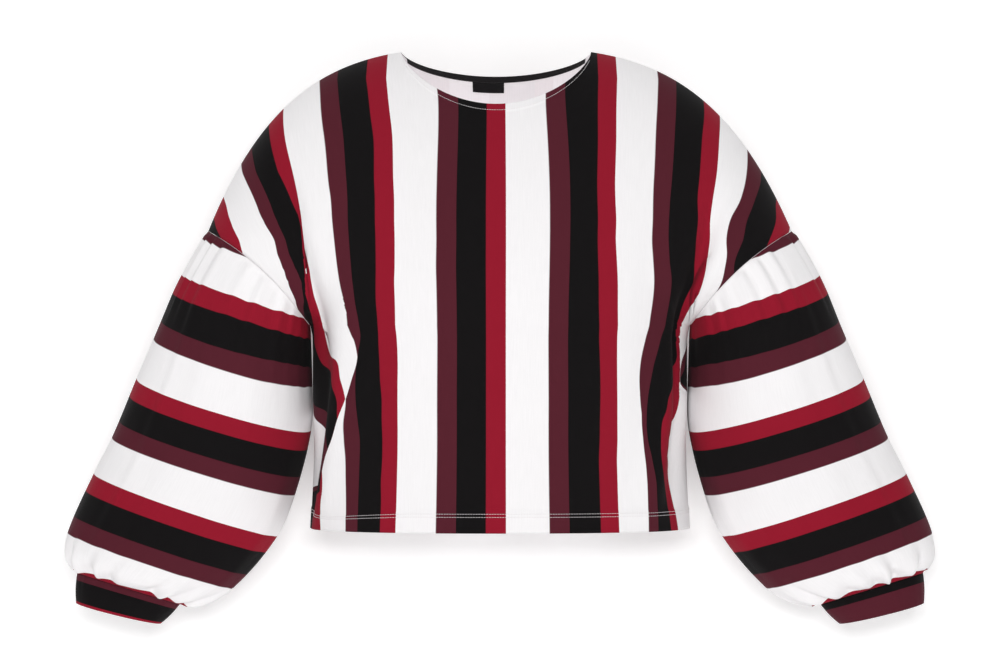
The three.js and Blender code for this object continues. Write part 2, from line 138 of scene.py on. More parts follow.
# %% Sizes of the shoulders, the armholes and the body's sections
shoulder_handles = np.array([(0.0995, 0.0), (0.186, -0.013), (0.252, -0.058), (0.306, -0.188)])
shoulder_ease = 0.75
shoulder_samples = 401
armhole_tip = np.array([0.306, -0.188])
underarm = np.array([0.199, -0.287])
armhole_reach = 0.064
armhole_bulge = {"front": 0.010, "back": 0.004}
section_power = 2.4
section_samples = 241
body_sections = [
    {"height": -0.287, "half_width": 0.1990, "front": 0.124, "back": 0.112},
    {"height": -0.300, "half_width": 0.1966, "front": 0.125, "back": 0.111},
    {"height": -0.362, "half_width": 0.1962, "front": 0.127, "back": 0.109},
    {"height": -0.400, "half_width": 0.1950, "front": 0.128, "back": 0.109},
    {"height": -0.435, "half_width": 0.1955, "front": 0.129, "back": 0.111},
    {"height": -0.499, "half_width": 0.1986, "front": 0.131, "back": 0.116},
]
hem_height = body_sections[-1]["height"]

# %% How each panel leaves the shoulder line, as pulls of a cubic curve
facing = {"front": -1, "back": 1}
panel_falls = {
    "front": {"neck_out": 0.260, "shoulder_out": 0.235, "top_down": 0.075, "chest_down": 0.300},
    "back": {"neck_out": 0.320, "shoulder_out": 0.215, "top_down": 0.070, "chest_down": 0.290},
}
shoulder_share = 1.6
arm_pull = 4 * armhole_reach
arm_start = 0.55
edge_start = 0.6


# %% A level of the body, with each column at its share of the cloth's length
def section_points(panel, heights, across):
    rows = smooth_rows(body_sections, "height", heights)
    turn = np.linspace(0, math.pi / 2, section_samples)
    power = 2 / section_power
    points = np.zeros((len(heights), len(across), 3))
    for level, height in enumerate(heights):
        x = rows["half_width"][level] * np.sin(turn) ** power
        y = rows[panel][level] * np.clip(np.cos(turn), 0, 1) ** power
        length = np.append(0, np.cumsum(np.hypot(np.diff(x), np.diff(y))))
        share = length / length[-1]
        points[level, :, 0] = np.sign(across) * np.interp(np.abs(across), share, x)
        points[level, :, 1] = facing[panel] * np.interp(np.abs(across), share, y)
        points[level, :, 2] = height
    return points


# %% The shoulder line, carried on across the neck opening
def bezier(handles, turn):
    rest = 1 - turn
    weights = np.stack([rest ** 3, 3 * turn * rest ** 2, 3 * turn ** 2 * rest, turn ** 3], axis=-1)
    return weights @ handles


shoulder_curve = bezier(shoulder_handles, np.linspace(0, 1, shoulder_samples))
shoulder_length = np.append(0, np.cumsum(np.linalg.norm(np.diff(shoulder_curve, axis=0), axis=1)))


def neck_share(cloth):
    return np.abs(cloth - neck_offset) / neck_across


def fall_line(cloth):
    share = neck_share(cloth)
    side = np.sign(cloth)
    past_neck = np.maximum(side * (cloth - neck_offset) - neck_across, 0)
    part = np.minimum(past_neck / (tip_across - side * neck_offset - neck_across), 1)
    along = part * mix(shoulder_ease, 1, part)
    shoulder_x = np.interp(along * shoulder_length[-1], shoulder_length, shoulder_curve[:, 0])
    shoulder_z = np.interp(along * shoulder_length[-1], shoulder_length, shoulder_curve[:, 1])
    x = np.where(share < 1, cloth, side * shoulder_x + neck_offset * (1 - along))
    z = np.where(share < 1, neck_line_rise * (1 - share ** 2), shoulder_z)
    return x, z


# %% A column of cloth on its way from the shoulder line to the underarm
def fall_points(panel, across, down):
    fall = panel_falls[panel]
    cloth = across * tip_across
    start_x, start_z = fall_line(cloth)
    end = section_points(panel, [underarm[1]], across)[0]
    shoulder = ease(0, shoulder_share, neck_share(cloth))
    arm = ease(arm_start, 1, np.abs(across))
    out_pull = mix(mix(fall["neck_out"], fall["shoulder_out"], shoulder), arm_pull, arm)
    back_pull = mix(0, arm_pull, arm)
    x = cubic(start_x, end[:, 0], 0, 0, down)
    y = cubic(0, end[:, 1], facing[panel] * out_pull, -facing[panel] * back_pull, down)
    z = cubic(start_z, end[:, 2], -mix(fall["top_down"], 0, arm), -mix(fall["chest_down"], 0, arm), down)
    return np.stack([x, y, z], axis=-1)


# %% Where the neck opening cuts a column, found by halving
def neck_cut(panel, across):
    share = np.minimum(neck_share(across * tip_across), 1)
    wanted = -neck_drop[panel] * np.sqrt(1 - share ** 2) ** neck_shape
    above, below = np.zeros_like(across), np.ones_like(across)
    for _ in range(neck_cut_halvings):
        middle = (above + below) / 2
        too_high = fall_points(panel, across, middle)[:, 2] > wanted
        above, below = np.where(too_high, middle, above), np.where(too_high, below, middle)
    return np.where(share < 1, (above + below) / 2, 0)


# %% The armhole ring, from the tip of the shoulder round the arm to the underarm
def armhole_points(side, panel_facing, turn):
    centre = (armhole_tip + underarm) / 2
    half = (armhole_tip - underarm) / 2
    bulge = np.where(panel_facing < 0, armhole_bulge["front"], armhole_bulge["back"]) * np.sin(turn) ** 2
    size = np.hypot(*half)
    x = centre[0] + half[0] * np.cos(turn) - bulge * half[1] / size
    z = centre[1] + half[1] * np.cos(turn) + bulge * half[0] / size
    return np.stack([side * x, panel_facing * armhole_reach * np.sin(turn), z], axis=-1)


def cut_across(turn):
    return side_across + (tip_across - side_across) * ((1 + np.cos(turn)) / 2) ** armhole_cut_curve


# %% A whole panel above the underarm
def upper_points(panel, across, down):
    cut = neck_cut(panel, across)
    fallen = down[:, None] + cut * (1 - down[:, None]) ** neck_cut_fade
    points = fall_points(panel, across, fallen)
    for side in (-1.0, 1.0):
        edge = armhole_points(side, facing[panel], math.pi * down)
        miss = edge - fall_points(panel, np.array([side]), down[:, None])[:, 0]
        share = ease(edge_start, 1, side * across)
        points = points + miss[:, None, :] * share[:, None]
    return points


neck_point = upper_points("front", np.array([neck_across / tip_across]), np.zeros(1))[0, 0]
print("neck point of the front:", neck_point)

# %% [markdown]
# ## The drape of the body
# Jersey hangs from the shoulders and is drawn together at the underarms, so its stripes don't run
# straight. Three tables shape that, in millimetres, because such small numbers read better.
#
# The first lets the front's cloth slide along the form: it moves the stripes and leaves the outline alone.
# It is long, and its numbers weren't set by hand. They were fitted to where the stripes run in the
# photograph, and then rounded and filled in between, a few of them one by one.
#
# The second lists tucks of the front, where cloth disappears under the edge of a fold. Their paths began
# the same way and were then moved. The third lists soft troughs and ridges.

# %% Places across the cloth that the first table speaks of, in millimetres from the middle
slide_across = {
    -1: [-345, -300, -265, -240, -220, -205, -190, -175, -163, -150, -125, -105, -70],
    1: [70, 120, 150, 156, 163, 172, 182, 196, 212, 228, 240, 262, 290, 325],
}

# %% How far the front's cloth slides towards the wearer's left, by height
front_slides = {
    -1: [
        (-500, [0, 0, 0, 6, 16, 21, 20, 17, 15, 10, 6, 2, 0]),
        (-467, [0, 0, 0, 2, 14, 22, 24, 17, 13, 9, 6, 2, 0]),
        (-447, [30, 30, 30, 40, 50, 38, 19, 14, 12, 9, 5, 2, 0]),
        (-425, [0, 0, 5, 12, 17, 18, 15, 13, 11, 9, 6, 2, 0]),
        (-405, [-5, -5, -5, 3, 11, 14, 11, 10, 10, 9, 6, 2, 0]),
        (-384, [-12, -12, -12, -4, 7, 12, 14, 11, 10, 6, 5, 2, 0]),
        (-363, [-34, -34, -34, -18, -3, 8, 20, 24, 12, 3, 5, 2, 0]),
        (-343, [-25, -25, -25, -6, 8, 16, 21, 21, 14, 2, 3, 2, 0]),
        (-325, [-21, -21, -21, -10, -4, 4, 14, 24, 16, 4, 2, 2, 0]),
        (-302, [-14, -14, -14, -13, -8, -4, 2, 8, 11, 11, 0, 1, 0]),
        (-288, [0, 3, 3, 1, -1, 1, 7, 15, 19, 11, 0, 0, 0]),
        (-262, [3, 6, 9, 8, -2, 0, 5, 10, 13, 4, -1, 0, 0]),
        (-242, [2, 3, 4, 10, 3, 3, 6, 8, 7, 2, 0, 0, 0]),
        (-228, [4, 10, 15, 17, 7, 5, 6, 7, 5, 2, 1, 1, 0]),
        (-200, [2, 6, 13, 9, 6, 6, 6, 6, 4, 2, 2, 2, 1]),
        (-179, [-1, 1, 3, 2, 7, 6, 6, 5, 3, 2, 2, 2, 1]),
        (-158, [8, 5, 4, 4, 5, 4, 4, 4, 3, 2, 2, 2, 1]),
        (-138, [3, 2, 1, 1, 1, 1, 1, 1, 1, 1, 1, 1, 1]),
        (-96, [0, -5, -9, -10, -9, -7, -6, -4, -4, -3, -1, -1, 0]),
        (-64, [0, -8, -14, -15, -14, -13, -12, -11, -10, -8, -7, -5, -2]),
        (-30, [0, -6, -13, -15, -18, -18, -17, -17, -16, -15, -12, -10, -5]),
    ],
    1: [
        (-500, [0, 2, -8, -9, -13, -18, -20, -31, -32, -24, -16, -4, 0, 0]),
        (-467, [0, 2, -9, -12, -19, -22, -25, -36, -34, -26, -17, -4, 0, 0]),
        (-445, [0, 2, -8, -14, -23, -37, -40, -38, -33, -26, -17, -5, 0, 0]),
        (-424, [0, 2, -8, -17, -33, -46, -43, -36, -28, -21, -14, -5, 0, 0]),
        (-404, [0, 3, -9, -28, -38, -46, -50, -45, -34, -22, -14, -5, 0, 0]),
        (-384, [0, 3, -12, -30, -36, -42, -37, -29, -20, -11, -6, -3, 0, 0]),
        (-362, [0, 3, -16, -26, -29, -32, -34, -26, -15, -5, -2, 0, 0, 0]),
        (-343, [0, 3, -17, -21, -23, -22, -21, -19, -11, -3, 1, 0, 0, 0]),
        (-325, [0, 3, -14, -16, -18, -17, -12, -4, 4, 12, 9, 4, 0, 0]),
        (-302, [0, 3, -7, -8, -9, -10, -8, -3, 5, 13, 13, 6, 0, 0]),
        (-288, [0, 3, -4, -4, -5, -5, -4, 0, 6, 12, 11, 4, 0, 0]),
        (-262, [0, 2, -1, -1, -1, -1, 1, 4, 8, 12, 10, 4, 1, 0]),
        (-242, [0, 1, -1, -1, -1, 0, 1, 4, 9, 15, 11, 5, 1, 0]),
        (-221, [0, -1, -3, -4, -4, -4, -4, 0, 5, 8, 8, 0, -11, -5]),
        (-200, [0, -3, -6, -7, -7, -8, -7, -3, 1, 4, 5, -14, -9, -3]),
        (-179, [0, -3, -6, -7, -8, -9, -8, -4, 0, 0, -1, -15, -10, -1]),
        (-158, [0, -4, -6, -7, -8, -8, -8, -5, -3, -1, -1, -5, -5, -5]),
        (-138, [0, -4, -5, -6, -6, -6, -6, -4, -2, 0, 1, -2, 0, 0]),
        (-96, [0, -1, -2, -2, -2, -2, -1, 0, 2, 4, 5, 3, 0, 0]),
        (-64, [0, 1, 2, 2, 2, 3, 3, 5, 7, 9, 9, 6, 0, 0]),
        (-30, [0, 4, 5, 6, 6, 7, 7, 8, 9, 9, 9, 6, 0, 0]),
    ],
}

# %% Tucks: the height, the place across and how much cloth is hidden there, in millimetres
front_tucks = {
    "right_underarm": {"side": -1, "rows": [
        (-128, -226, 0), (-158, -221, 9), (-179, -216, 18), (-200, -216, 18), (-214, -219, 14),
        (-228, -225, 16), (-242, -230, 28), (-262, -240, 22), (-285, -244, 0)]},
    "right_waist": {"side": -1, "rows": [
        (-288, -150, 0), (-302, -150, 12), (-325, -152, 24), (-343, -158, 33), (-363, -165, 43),
        (-384, -175, 57), (-405, -183, 70), (-425, -193, 74), (-447, -199, 35), (-467, -200, 0)]},
    "left_underarm": {"side": 1, "rows": [
        (-256, 230, 0), (-270, 230, 9), (-288, 228, 16), (-302, 229, 18), (-325, 229, 13), (-343, 230, 0)]},
    "left_side": {"side": 1, "rows": [
        (-301, 262, 0), (-310, 250, 35), (-323, 237, 45), (-343, 233, 65), (-351, 236, 60), (-360, 258, 0)]},
}
slide_full = 0.07
tuck_softness = 0.0002
tuck_reach = 0.045
tuck_blend = 0.10


def tuck_rows(tuck):
    return (np.array(column) / 1000 for column in zip(*sorted(tuck["rows"])))


def tucked_cloth(tuck, heights, cloth):
    levels, across, hidden = tuck_rows(tuck)
    past = tuck["side"] * (cloth - smooth_column(levels, across, heights))
    amount = np.interp(heights, levels, hidden)
    return -tuck["side"] * amount * ease(-tuck_softness, tuck_softness, past)


# %% Lead a column of the grid along each tuck, so that the fold's edge is a clean line
def follow_tuck(tuck, points, cloth):
    levels, across, _ = tuck_rows(tuck)
    heights = points[:, :, 2]
    misses = smooth_column(levels, across, heights) - cloth
    within = (heights > levels[0]) & (heights < levels[-1])
    column = np.argmin([np.abs(misses[within[:, place], place]).mean() if within[:, place].any() else 1
                        for place in range(cloth.shape[1])])
    fade = ease(levels[0] - tuck_reach, levels[0], heights[:, column])
    fade = fade * ease(levels[-1] + tuck_reach, levels[-1], heights[:, column])
    moved = cloth.copy()
    for row in np.where(fade > 0)[0]:
        place = cloth[row, column]
        shift = misses[row, column] * fade[row]
        edge = tuck["side"] * np.abs(cloth[row, 0])
        ends = sorted([(place - tuck["side"] * tuck_blend, 0), (place, shift), (edge, 0)])
        moved[row] = cloth[row] + np.interp(cloth[row], *zip(*ends))
        moved[row, column + 1] = moved[row, column] + tuck_softness
        moved[row, column] = moved[row, column] - tuck_softness
    led = np.stack([[np.interp(moved[row], cloth[row], points[row, :, axis]) for axis in range(3)]
                    for row in range(len(points))])
    return np.moveaxis(led, 1, 2), moved


# %% Read the table of slides smoothly both ways, at the height and the place of every point
def read_table(rows, places, heights, cloth):
    rows = sorted(rows)
    levels = [height / 1000 for height, _ in rows]
    places = np.array(places) / 1000
    columns = np.stack([smooth_column(levels, [values[c] / 1000 for _, values in rows], heights)
                        for c in range(len(places))])
    last = len(places) - 1
    left = np.clip(np.searchsorted(places, cloth, side="right") - 1, 0, last - 1)
    before, after = np.maximum(left - 1, 0), np.minimum(left + 2, last)

    def value(index):
        return np.take_along_axis(columns, index[None], axis=0)[0]

    span = places[left + 1] - places[left]
    share = np.clip((cloth - places[left]) / span, 0, 1)
    slope_start = (value(left + 1) - value(before)) / (places[left + 1] - places[before])
    slope_end = (value(after) - value(left)) / (places[after] - places[left])
    return cubic(value(left), value(left + 1), slope_start * span, slope_end * span, share)


# %% Troughs and ridges, in millimetres: a negative depth stands proud
body_folds = {
    "front": [
        {"across": (-232, -212), "height": (-130, -330), "depth": 10, "reach": 21},
        {"across": (236, 205), "height": (-170, -345), "depth": 13, "reach": 20},
        {"across": (-168, -205), "height": (-270, -485), "depth": -7, "reach": 21},
        {"across": (196, 160), "height": (-290, -480), "depth": -9, "reach": 20},
        {"across": (-196, -236), "height": (-330, -470), "depth": 9, "reach": 18},
        {"across": (226, 194), "height": (-330, -460), "depth": 9, "reach": 18},
    ],
    "back": [
        {"across": (-236, -206), "height": (-150, -360), "depth": 12, "reach": 21},
        {"across": (236, 200), "height": (-150, -370), "depth": 12, "reach": 21},
        {"across": (-150, -186), "height": (-290, -490), "depth": -8, "reach": 22},
        {"across": (150, 178), "height": (-280, -490), "depth": -8, "reach": 22},
    ],
}
fold_fade = 0.045
fold_side_start = 0.9


def fold_depth(panel, cloth, height):
    depth = np.zeros_like(cloth)
    for fold in body_folds[panel]:
        top, low = (place / 1000 for place in fold["height"])
        middle = mix(fold["across"][0], fold["across"][1], (height - top) / (low - top)) / 1000
        fade = ease(top + fold_fade, top - fold_fade, height) * ease(low - fold_fade, low + fold_fade, height)
        depth += fold["depth"] / 1000 * fade * np.exp(-((cloth - middle) / (fold["reach"] / 1000)) ** 2)
    return depth


print("folds:", {panel: len(folds) for panel, folds in body_folds.items()})


# %% [markdown]
# ## From a grid of points to a piece of cloth
# A panel is a grid of rows and columns. Each grid cell becomes a four-sided face, and the place of every
# point on the flat cloth goes into the UV map, so that stripes and knit follow the cloth and not the room.
# A Solidify modifier then gives the single layer its thickness, with the reverse of the jersey inside.

# %% Which way is out at each point of a grid
def grid_outward(points, around=False):
    if around:
        across = np.roll(points, -1, axis=1) - np.roll(points, 1, axis=1)
    else:
        across = np.gradient(points, axis=1)
    down = np.gradient(points, axis=0)
    outward = np.cross(down, across)
    return outward / np.maximum(np.linalg.norm(outward, axis=2, keepdims=True), 1e-12)


# %% Build the mesh of a grid
def cloth_mesh(name, points, cloth, along, around=False, flip=False):
    """points, cloth and along have a row for each row of the grid; cloth and along are the UV map."""
    height, width = points.shape[:2]
    last = width if around else width - 1
    row, column = np.meshgrid(np.arange(height - 1), np.arange(last), indexing="ij")
    row, column = row.ravel(), column.ravel()
    corners = [(row, column), (row + 1, column), (row + 1, column + 1), (row, column + 1)]
    if flip:
        corners.reverse()
    faces = np.stack([r * width + c % width for r, c in corners], axis=1)
    uv = np.stack([np.stack([cloth[r, c], along[r, c]], axis=-1) for r, c in corners], axis=1)
    mesh = bpy.data.meshes.new(name)
    mesh.vertices.add(height * width)
    mesh.vertices.foreach_set("co", points.reshape(-1))
    mesh.loops.add(faces.size)
    mesh.loops.foreach_set("vertex_index", faces.reshape(-1))
    mesh.polygons.add(len(faces))
    mesh.polygons.foreach_set("loop_start", np.arange(0, faces.size, 4))
    mesh.update(calc_edges=True)
    mesh.uv_layers.new(name="cloth").data.foreach_set("uv", uv.reshape(-1))
    mesh.shade_smooth()
    mesh.validate()
    return mesh


# %% Make a piece of cloth from a grid
def cloth_piece(name, points, cloth, along, thickness, materials, around=False, flip=False):
    mesh = cloth_mesh(name, points, cloth, along, around, flip)
    piece = bpy.data.objects.new(name, mesh)
    bpy.context.scene.collection.objects.link(piece)
    for material in materials:
        mesh.materials.append(material)
    wall = piece.modifiers.new("wall", "SOLIDIFY")
    wall.thickness = thickness
    wall.offset = -1
    wall.material_offset = len(materials) - 1
    print(name, "faces:", len(mesh.polygons), "area:", round(sum(face.area for face in mesh.polygons), 4))
    return piece


# %% [markdown]
# ## Shader groups for the jersey
# Striped jersey needs three effects. The stripes are a repeat of white, maroon, black and crimson, read
# from one place on the cloth. The knit is a fine relief of stitch columns. The streaks are slight
# differences along the yarn. Each one is a node group with named inputs, used by several materials.

# %% Colours of the yarns, as seen in soft light
def colour(red, green, blue):
    levels = np.array([red, green, blue]) / 255
    linear = np.where(levels <= 0.04045, levels / 12.92, ((levels + 0.055) / 1.055) ** 2.4)
    return (*linear, 1.0)


white_yarn = colour(243, 241, 242)
maroon_yarn = colour(83, 31, 42)
black_yarn = colour(17, 15, 16)
crimson_yarn = colour(144, 22, 42)
stripe_repeat = 0.1142
stripe_widths = [(white_yarn, 0.0437), (maroon_yarn, 0.0203), (black_yarn, 0.0300), (crimson_yarn, 0.0202)]
print("stripe widths add up to", sum(width for _, width in stripe_widths), "m")


# %% Helpers that add and join nodes
def new_group(name, inputs, outputs):
    group = bpy.data.node_groups.new(name, "ShaderNodeTree")
    for title, kind, value in inputs:
        socket = group.interface.new_socket(title, in_out="INPUT", socket_type=kind)
        if value is not None:
            socket.default_value = value
    for title, kind in outputs:
        group.interface.new_socket(title, in_out="OUTPUT", socket_type=kind)
    return group, group.nodes.new("NodeGroupInput"), group.nodes.new("NodeGroupOutput")


def plug(tree, value, socket):
    if isinstance(value, bpy.types.NodeSocket):
        tree.links.new(value, socket)
    else:
        socket.default_value = value


def math_node(tree, operation, first, second=0.0):
    node = tree.nodes.new("ShaderNodeMath")
    node.operation = operation
    plug(tree, first, node.inputs[0])
    plug(tree, second, node.inputs[1])
    return node.outputs[0]


def use_group(tree, group, **values):
    node = tree.nodes.new("ShaderNodeGroup")
    node.node_tree = group
    for title, value in values.items():
        plug(tree, value, node.inputs[title.replace("_", " ")])
    return node


# %% Group: the stripe repeat
edge_softness = 0.0002


def fill_stripes(ramp):
    """Colour stops for one repeat, with a soft edge between neighbours."""
    ramp.interpolation = "LINEAR"
    start = 0.0
    stops = []
    for yarn, width in stripe_widths:
        stops += [(start + edge_softness, yarn), (start + width - edge_softness, yarn)]
        start += width
    ramp.elements[0].position, ramp.elements[0].color = stops[0][0] / stripe_repeat, stops[0][1]
    ramp.elements[1].position, ramp.elements[1].color = stops[-1][0] / stripe_repeat, stops[-1][1]
    for place, yarn in stops[1:-1]:
        ramp.elements.new(place / stripe_repeat).color = yarn


stripes_group, stripes_in, stripes_out = new_group(
    "stripe repeat",
    [("Place", "NodeSocketFloat", 0.0), ("Start", "NodeSocketFloat", 0.0)],
    [("Color", "NodeSocketColor")],
)
past_start = math_node(stripes_group, "SUBTRACT", stripes_in.outputs["Place"], stripes_in.outputs["Start"])
repeats = math_node(stripes_group, "DIVIDE", past_start, stripe_repeat)
repeat_share = math_node(stripes_group, "FRACT", repeats)
stripe_ramp = stripes_group.nodes.new("ShaderNodeValToRGB")
fill_stripes(stripe_ramp.color_ramp)
stripes_group.links.new(repeat_share, stripe_ramp.inputs[0])
stripes_group.links.new(stripe_ramp.outputs[0], stripes_out.inputs["Color"])
print("colour stops in a repeat:", len(stripe_ramp.color_ramp.elements))

# %% Group: the relief of the knit, from columns and rows of stitches
row_relief = 0.2
knit_group, knit_in, knit_out = new_group(
    "jersey knit",
    [("Across", "NodeSocketFloat", 0.0), ("Along", "NodeSocketFloat", 0.0),
     ("Column Width", "NodeSocketFloat", 0.0008), ("Row Height", "NodeSocketFloat", 0.0006)],
    [("Height", "NodeSocketFloat")],
)
columns_at = math_node(knit_group, "DIVIDE", knit_in.outputs["Across"], knit_in.outputs["Column Width"])
rows_at = math_node(knit_group, "DIVIDE", knit_in.outputs["Along"], knit_in.outputs["Row Height"])
column_wave = math_node(knit_group, "ABSOLUTE", math_node(
    knit_group, "SINE", math_node(knit_group, "MULTIPLY", columns_at, math.pi)))
row_wave = math_node(knit_group, "SINE", math_node(knit_group, "MULTIPLY", rows_at, 2 * math.pi))
knit_height = math_node(knit_group, "MULTIPLY_ADD", row_wave, row_relief)
knit_group.links.new(column_wave, knit_height.node.inputs[2])
knit_group.links.new(knit_height, knit_out.inputs["Height"])
print("knit group nodes:", len(knit_group.nodes))

# %% Group: streaks along the yarn, which lighten or darken a colour a little
streaks_per_metre = {"Across": 900.0, "Along": 40.0}
streak_detail = 3.0
streak_group, streak_in, streak_out = new_group(
    "yarn streaks",
    [("Color", "NodeSocketColor", None), ("Across", "NodeSocketFloat", 0.0),
     ("Along", "NodeSocketFloat", 0.0), ("Strength", "NodeSocketFloat", 0.05)],
    [("Color", "NodeSocketColor")],
)
streak_place = streak_group.nodes.new("ShaderNodeCombineXYZ")
for axis, (title, scale) in enumerate(streaks_per_metre.items()):
    scaled = math_node(streak_group, "MULTIPLY", streak_in.outputs[title], scale)
    plug(streak_group, scaled, streak_place.inputs[axis])
streak_noise = streak_group.nodes.new("ShaderNodeTexNoise")
streak_noise.inputs["Scale"].default_value = 1.0
streak_noise.inputs["Detail"].default_value = streak_detail
streak_group.links.new(streak_place.outputs[0], streak_noise.inputs["Vector"])
centred = math_node(streak_group, "SUBTRACT", streak_noise.outputs["Fac"], 0.5)
swing = math_node(streak_group, "MULTIPLY", centred, streak_in.outputs["Strength"])
brightness = math_node(streak_group, "MULTIPLY_ADD", swing, 2.0)
brightness.node.inputs[2].default_value = 1.0
streaked = streak_group.nodes.new("ShaderNodeVectorMath")
streaked.operation = "SCALE"
streak_group.links.new(streak_in.outputs["Color"], streaked.inputs[0])
streak_group.links.new(brightness, streaked.inputs["Scale"])
streak_group.links.new(streaked.outputs[0], streak_out.inputs["Color"])
print("streak group nodes:", len(streak_group.nodes))

# %% [markdown]
# ## Materials of the cloth
# The jersey is matt with a soft sheen at grazing angles. Its reverse is nearly white: only a ghost of the
# stripes shows, and a weak painted glow on it stands in for light that comes through thin cloth and
# brightens the shaded inside. The body's stripes run down and repeat across, and the sleeves' stripes run
# round the arm, because the sleeves are cut across the grain.

# %% Read the flat cloth's places from the UV map
def cloth_places(tree):
    uv = tree.nodes.new("ShaderNodeUVMap")
    uv.uv_map = "cloth"
    split = tree.nodes.new("ShaderNodeSeparateXYZ")
    tree.links.new(uv.outputs[0], split.inputs[0])
    return split.outputs[0], split.outputs[1]


def new_material(name, roughness, sheen):
    material = bpy.data.materials.new(name)
    material.use_nodes = True
    shader = material.node_tree.nodes["Principled BSDF"]
    shader.inputs["Roughness"].default_value = roughness
    shader.inputs["Sheen Weight"].default_value = sheen
    shader.inputs["Sheen Roughness"].default_value = 0.5
    shader.inputs["Specular IOR Level"].default_value = 0.1
    return material, material.node_tree, shader


def add_bump(tree, shader, height, distance, strength):
    bump = tree.nodes.new("ShaderNodeBump")
    bump.inputs["Distance"].default_value = distance
    bump.inputs["Strength"].default_value = strength
    tree.links.new(height, bump.inputs["Height"])
    tree.links.new(bump.outputs[0], shader.inputs["Normal"])


# %% What every jersey shares: streaks over the striped colour, and the relief of the knit
jersey_roughness = 0.9
jersey_sheen = 0.02
knit_depth = 0.0002
knit_strength = 0.25


def finish_jersey(tree, shader, stripes, across, along):
    streaks = use_group(tree, streak_group, Color=stripes, Across=across, Along=along)
    tree.links.new(streaks.outputs[0], shader.inputs["Base Color"])
    knit = use_group(tree, knit_group, Across=across, Along=along)
    add_bump(tree, shader, knit.outputs[0], knit_depth, knit_strength)
    return streaks.outputs[0]


# %% The striped jersey and its reverse
ghost = 0.06
reverse_white = colour(240, 236, 238)
# Strength of a weak painted glow on the reverse. It stands in for light through thin cloth and brightens the
# shaded inside.
painted_glow_strength = 0.13


def jersey(name, along_sleeve, start, reverse=False):
    material, tree, shader = new_material(name, jersey_roughness, jersey_sheen)
    across, along = cloth_places(tree)
    place = math_node(tree, "MULTIPLY", along, -1.0) if along_sleeve else across
    stripes = use_group(tree, stripes_group, Place=place, Start=start).outputs[0]
    if reverse:
        faded = tree.nodes.new("ShaderNodeMix")
        faded.data_type = "RGBA"
        faded.inputs[0].default_value = ghost
        faded.inputs[6].default_value = reverse_white
        tree.links.new(stripes, faded.inputs[7])
        stripes = faded.outputs[2]
    streaked_stripes = finish_jersey(tree, shader, stripes, across, along)
    # Painted light: the reverse glows weakly in its own colour, which brightens the inside of the top.
    if reverse:
        tree.links.new(streaked_stripes, shader.inputs["Emission Color"])
        shader.inputs["Emission Strength"].default_value = painted_glow_strength
    return material


# %% Where the stripe repeat starts on each part, and the two materials of that part
stripe_starts = {"front": 0.0061, "back": -0.0556, "sleeve": 0.0}
jerseys = {}
for part, start in stripe_starts.items():
    along_sleeve = part == "sleeve"
    face = jersey(f"jersey_{part}", along_sleeve, start)
    inside = jersey(f"jersey_{part}_reverse", along_sleeve, start, reverse=True)
    jerseys[part] = [face, inside]
print("jersey materials:", [material.name for pair in jerseys.values() for material in pair])

# %% [markdown]
# ## The two body panels
# The grid's columns are closest at the neck points, where the neck edge turns sharply upwards. Its rows
# run from the shoulders to the underarm and on to the hem. The drape tables then move the points and
# their places on the cloth. At the neck edge and the hem the cloth is doubled, which shows as a low step.

# %% Rows and columns of the grid
side_columns = 66
neck_columns = 84
upper_rows = 104
lower_rows = 72
row_spread = 1.15


def panel_columns():
    right_neck = (neck_offset - neck_across) / tip_across
    left_neck = (neck_offset + neck_across) / tip_across
    neck_turn = -np.cos(np.linspace(0, math.pi, neck_columns + 1))
    neck = (neck_offset + neck_across * neck_turn) / tip_across
    return np.concatenate([
        np.linspace(-1, right_neck, side_columns, endpoint=False),
        neck[:-1],
        np.linspace(left_neck, 1, side_columns + 1),
    ])


panel_across = panel_columns()
upper_down = np.linspace(0, 1, upper_rows + 1) ** row_spread
lower_heights = np.linspace(underarm[1], hem_height, lower_rows + 1)[1:]
print("columns of a panel:", len(panel_across))

# %% Doubled cloth at the neck edge and the hem
neck_turning = 0.0085
hem_turning = 0.0205
turning_step = 0.0006
turning_softness = 0.0015
neck_turning_end = 0.97


def lengths_down(points):
    steps = np.linalg.norm(np.diff(points, axis=0), axis=2)
    return np.vstack([np.zeros(points.shape[1]), np.cumsum(steps, axis=0)])


def turning_lift(points, across):
    down = lengths_down(points)
    from_hem = down[-1] - down
    at_neck = ease(1.0, neck_turning_end, neck_share(across * tip_across))
    neck_lift = ease(neck_turning + turning_softness, neck_turning, down) * at_neck
    hem_lift = ease(hem_turning + turning_softness, hem_turning, from_hem)
    return turning_step * np.maximum(neck_lift, hem_lift)


# %% Work out a panel
def drape_front(heights, cloth):
    """The places on the front's cloth that end up at each point, after it has slid and been tucked."""
    slide = np.zeros_like(cloth)
    for side in (-1, 1):
        mine = side * cloth > 0
        sliding = read_table(front_slides[side], slide_across[side], heights, cloth)
        near = smooth_column([0, slide_full], [0, 1], np.abs(cloth))
        slide = np.where(mine, sliding * near, slide)
    for tuck in front_tucks.values():
        slide = slide + tucked_cloth(tuck, heights, cloth)
    return cloth - slide


def make_panel(panel):
    across = panel_across
    upper = upper_points(panel, across, upper_down)
    lower = section_points(panel, lower_heights, across)
    points = np.concatenate([upper, lower])
    width = np.append(cut_across(math.pi * upper_down), np.full(lower_rows, side_across))
    cloth = width[:, None] * across
    if panel == "front":
        for tuck in front_tucks.values():
            points, cloth = follow_tuck(tuck, points, cloth)
    outward = grid_outward(points) * -facing[panel]
    fade = ease(1, fold_side_start, np.abs(across))
    depth = fold_depth(panel, cloth, points[:, :, 2]) * fade
    points = points - outward * depth[:, :, None]
    places = drape_front(points[:, :, 2], cloth) if panel == "front" else cloth
    outward = grid_outward(points) * -facing[panel]
    points = points + outward * turning_lift(points, across)[:, :, None]
    points[:, :, 1] += facing[panel] * seam_gap / 2
    return points, places, -lengths_down(points)


